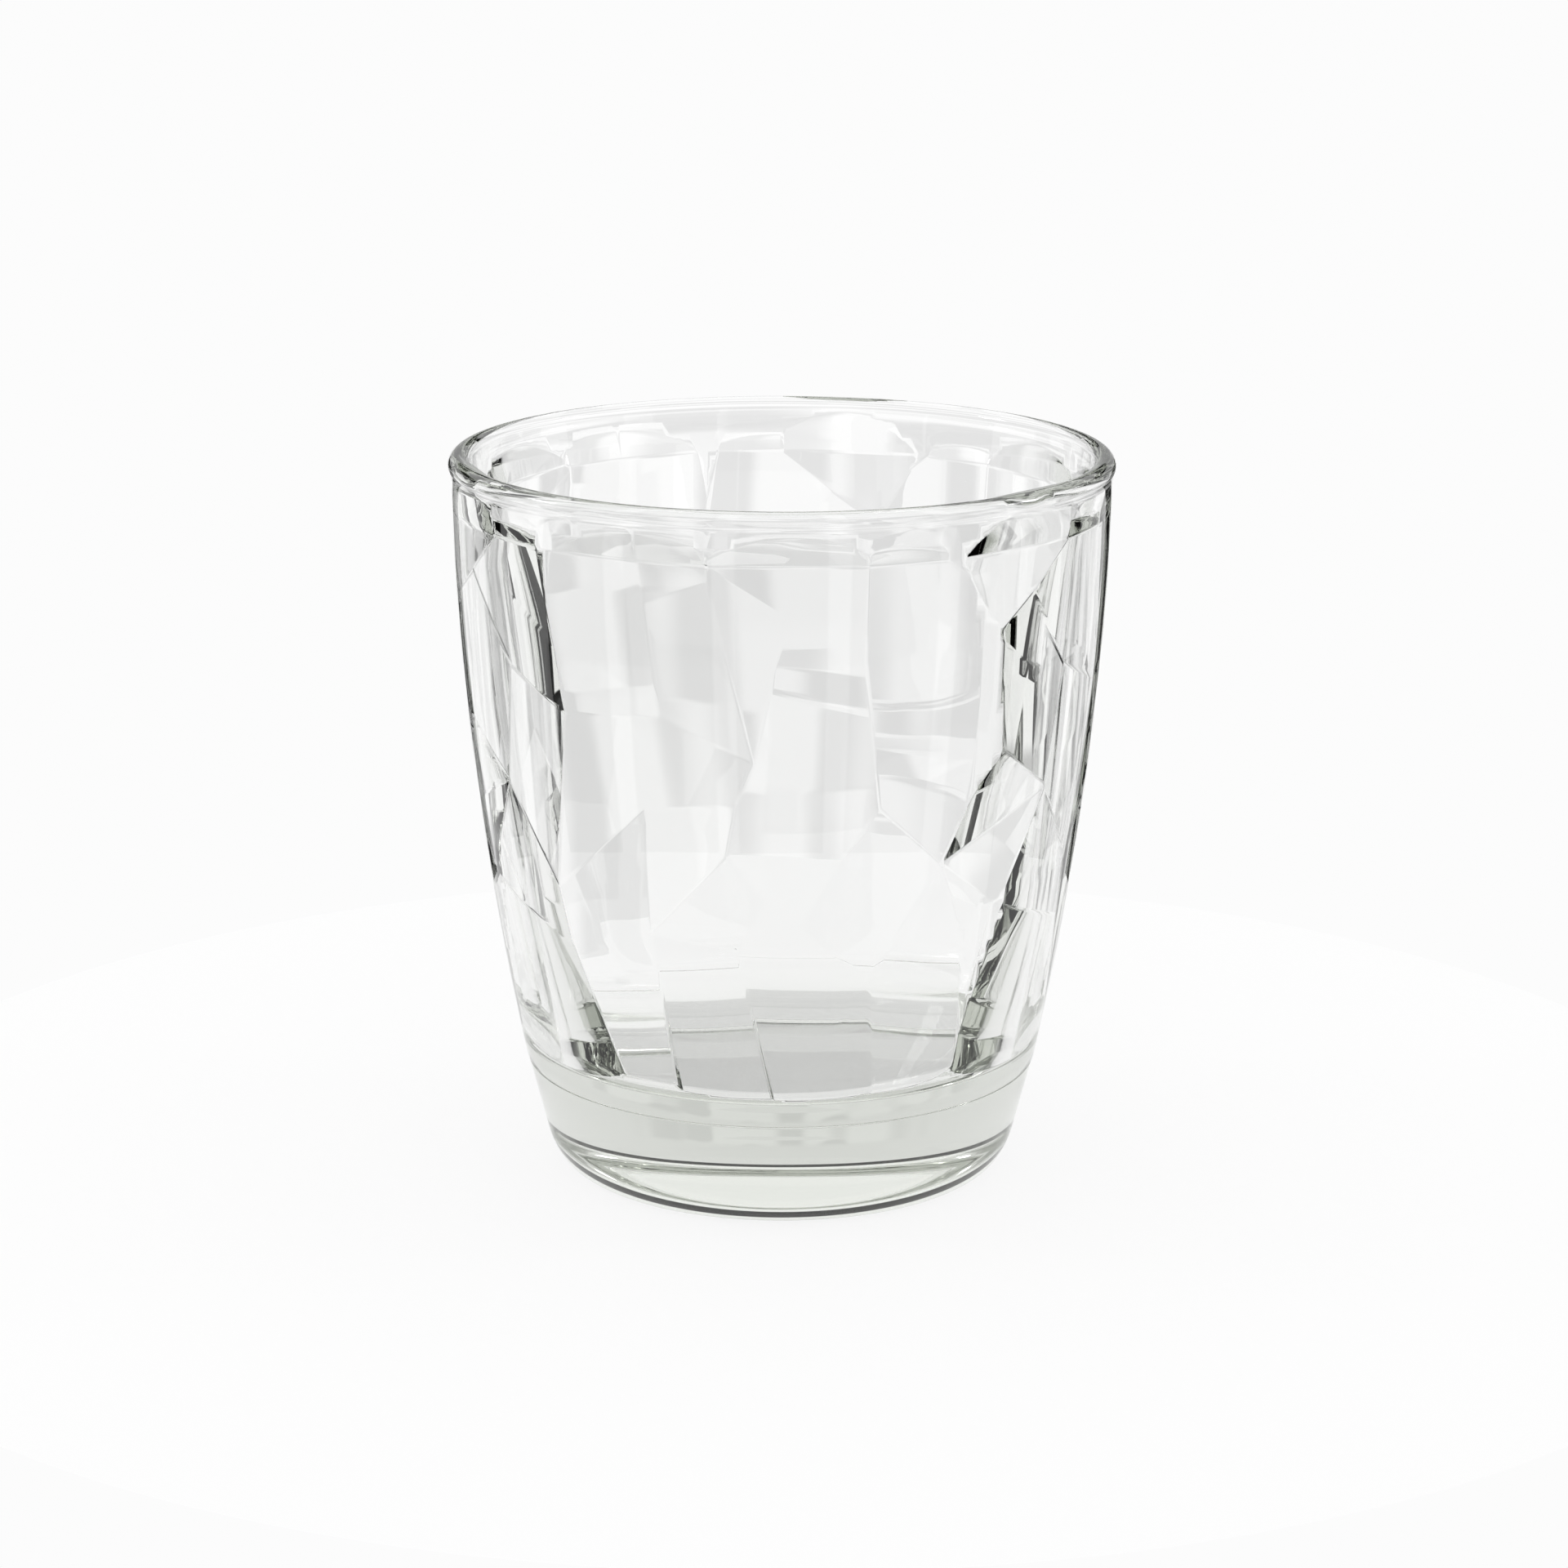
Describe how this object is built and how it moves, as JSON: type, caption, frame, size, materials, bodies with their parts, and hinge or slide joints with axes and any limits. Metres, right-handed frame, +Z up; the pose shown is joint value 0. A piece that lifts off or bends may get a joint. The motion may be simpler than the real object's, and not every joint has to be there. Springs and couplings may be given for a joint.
{
  "type": "whiskey tumbler",
  "caption": "Heavy clear-glass whiskey tumbler with a smooth tapered outside, an inside wall pressed into irregular flat facets, a thick base and a rounded rim; holds a drink.",
  "frame": {"origin": "centre of the flat resting ring under the foot, on the surface the glass stands on", "axes": "+Z up along the axis of the glass, -Y towards the side that faces the viewer in the rest view, +X to that viewer's right"},
  "size_m": [0.084, 0.084, 0.093],
  "materials": {
    "glass": "polished"
  },
  "bodies": {
    "root": {"tumbler": "glass"}
  },
  "joints": []
}
